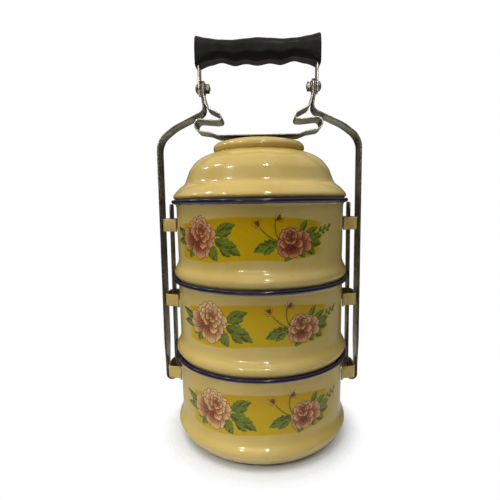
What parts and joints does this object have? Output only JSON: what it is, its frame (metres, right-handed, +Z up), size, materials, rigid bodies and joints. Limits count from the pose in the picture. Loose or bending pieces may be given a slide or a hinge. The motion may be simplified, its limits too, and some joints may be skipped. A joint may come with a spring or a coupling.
{
  "type": "tiffin carrier",
  "caption": "Stacked enamel food carrier: nesting round bowls under a domed lid, held between two bent steel straps by a sprung lid press, with a moulded carrying grip.",
  "frame": {"origin": "centre of the bottom bowl's flat base, on the surface that the carrier stands on", "axes": "+Z up the stack, +X to the right along the grip and through the lugs, -Y to the front"},
  "size_m": [0.161, 0.1408, 0.3186],
  "materials": {
    "enamel": "glossy cream vitreous enamel on pressed steel, navy blue rolled rims",
    "strap_steel": "dull nickel plating, slightly worn",
    "fastener_steel": "plated steel",
    "grip_plastic": "black moulded plastic, semi-gloss"
  },
  "bodies": {
    "bottom_tier": {"bottom_bowl": "enamel", "bottom_lug_left": "enamel", "bottom_lug_right": "enamel", "left_arm": "strap_steel", "right_arm": "strap_steel", "pivot_screw_left": "fastener_steel", "pivot_screw_right": "fastener_steel", "pivot_washer_left": "fastener_steel", "pivot_washer_right": "fastener_steel", "pivot_nut_left": "fastener_steel", "pivot_nut_right": "fastener_steel"},
    "middle_tier": {"middle_bowl": "enamel", "middle_lug_left": "enamel", "middle_lug_right": "enamel"},
    "top_tier": {"top_bowl": "enamel", "top_lug_left": "enamel", "top_lug_right": "enamel"},
    "lid": {"lid": "enamel"},
    "press": {"lid_press": "strap_steel"},
    "handle": {"handle_bail": "strap_steel", "handle_grip": "grip_plastic"}
  },
  "joints": [
    {"name": "press_swing", "type": "hinge", "parent": "bottom_tier", "child": "press", "pos_m": [0, 0, 0.279], "axis": [-1, 0, 0], "range_deg": [0, 120], "deforming": ["lid_press"]},
    {"name": "middle_lift", "type": "slide", "parent": "bottom_tier", "child": "middle_tier", "axis": [0, 0, 1], "range_m": [0, 0.01]},
    {"name": "top_lift", "type": "slide", "parent": "middle_tier", "child": "top_tier", "axis": [0, 0, 1], "range_m": [0, 0.01]},
    {"name": "lid_lift", "type": "slide", "parent": "top_tier", "child": "lid", "axis": [0, 0, 1], "range_m": [0, 0.01]},
    {"name": "handle_swing", "type": "hinge", "parent": "bottom_tier", "child": "handle", "pos_m": [0, 0, 0.279], "axis": [-1, 0, 0], "range_deg": [-90, 90]}
  ],
  "couplings": [
    {"joint": "press_swing", "follows": "middle_lift", "rad_per_m": 209.44},
    {"joint": "top_lift", "follows": "middle_lift", "ratio": 1},
    {"joint": "lid_lift", "follows": "middle_lift", "ratio": 1}
  ]
}
